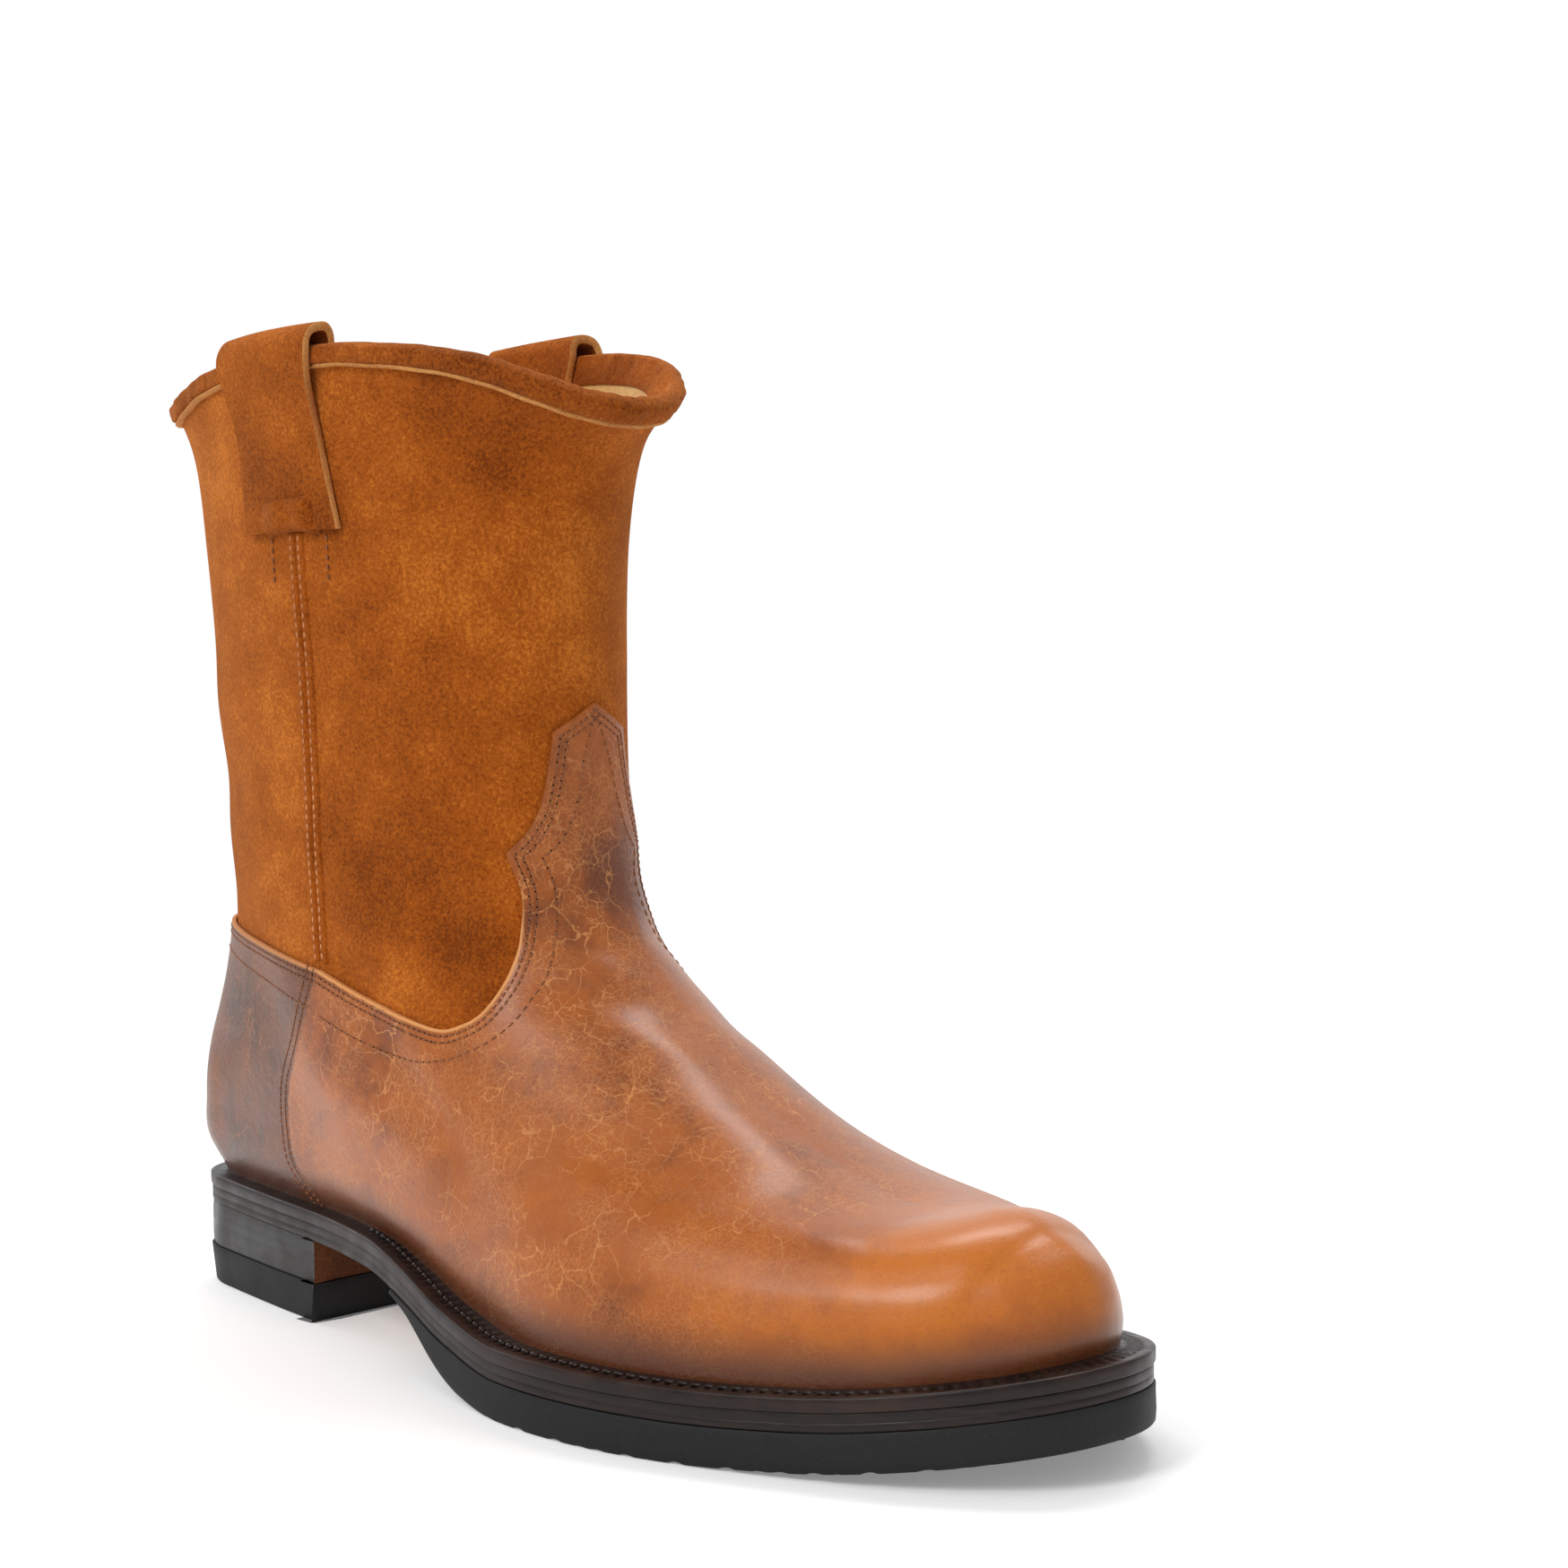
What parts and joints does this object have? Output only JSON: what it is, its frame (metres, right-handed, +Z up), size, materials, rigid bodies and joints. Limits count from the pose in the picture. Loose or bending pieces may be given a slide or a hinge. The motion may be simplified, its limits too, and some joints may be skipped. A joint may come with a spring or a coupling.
{
  "type": "roper boot",
  "caption": "Pull-on right boot with a suede shaft, waxed leather vamp and counter, low stacked heel and a stitched leather sole with a rubber half sole.",
  "frame": {"origin": "on the floor, in the middle of the underside of the heel cap", "axes": "+X to the toe, +Y to the inner (big toe) side, +Z up through the shaft"},
  "size_m": [0.3199, 0.1147, 0.2573],
  "materials": {
    "suede": "rust-tan suede with a short soft nap",
    "suede_dark": "darker rust suede, folded binding",
    "waxed_leather": "waxed pull-up leather, semi-gloss, finely creased",
    "counter_leather": "waxed pull-up leather, darker and redder",
    "edge_leather": "burnished dark brown sole edge",
    "welt_leather": "dark brown stitched welt",
    "stack_leather": "burnished stacked leather",
    "rubber": "matte black rubber",
    "lining_leather": "natural light tan leather"
  },
  "bodies": {
    "root": {"collar_binding": "suede_dark", "counter": "counter_leather", "forefoot_rubber": "rubber", "heel_cap": "rubber", "heel_stack": "stack_leather", "insole": "lining_leather", "outsole_leather": "edge_leather", "pull_strap_lateral": "suede", "pull_strap_medial": "suede", "side_seam_lateral": "suede", "side_seam_medial": "suede", "upper": "suede", "vamp": "waxed_leather", "welt": "welt_leather"}
  },
  "joints": []
}
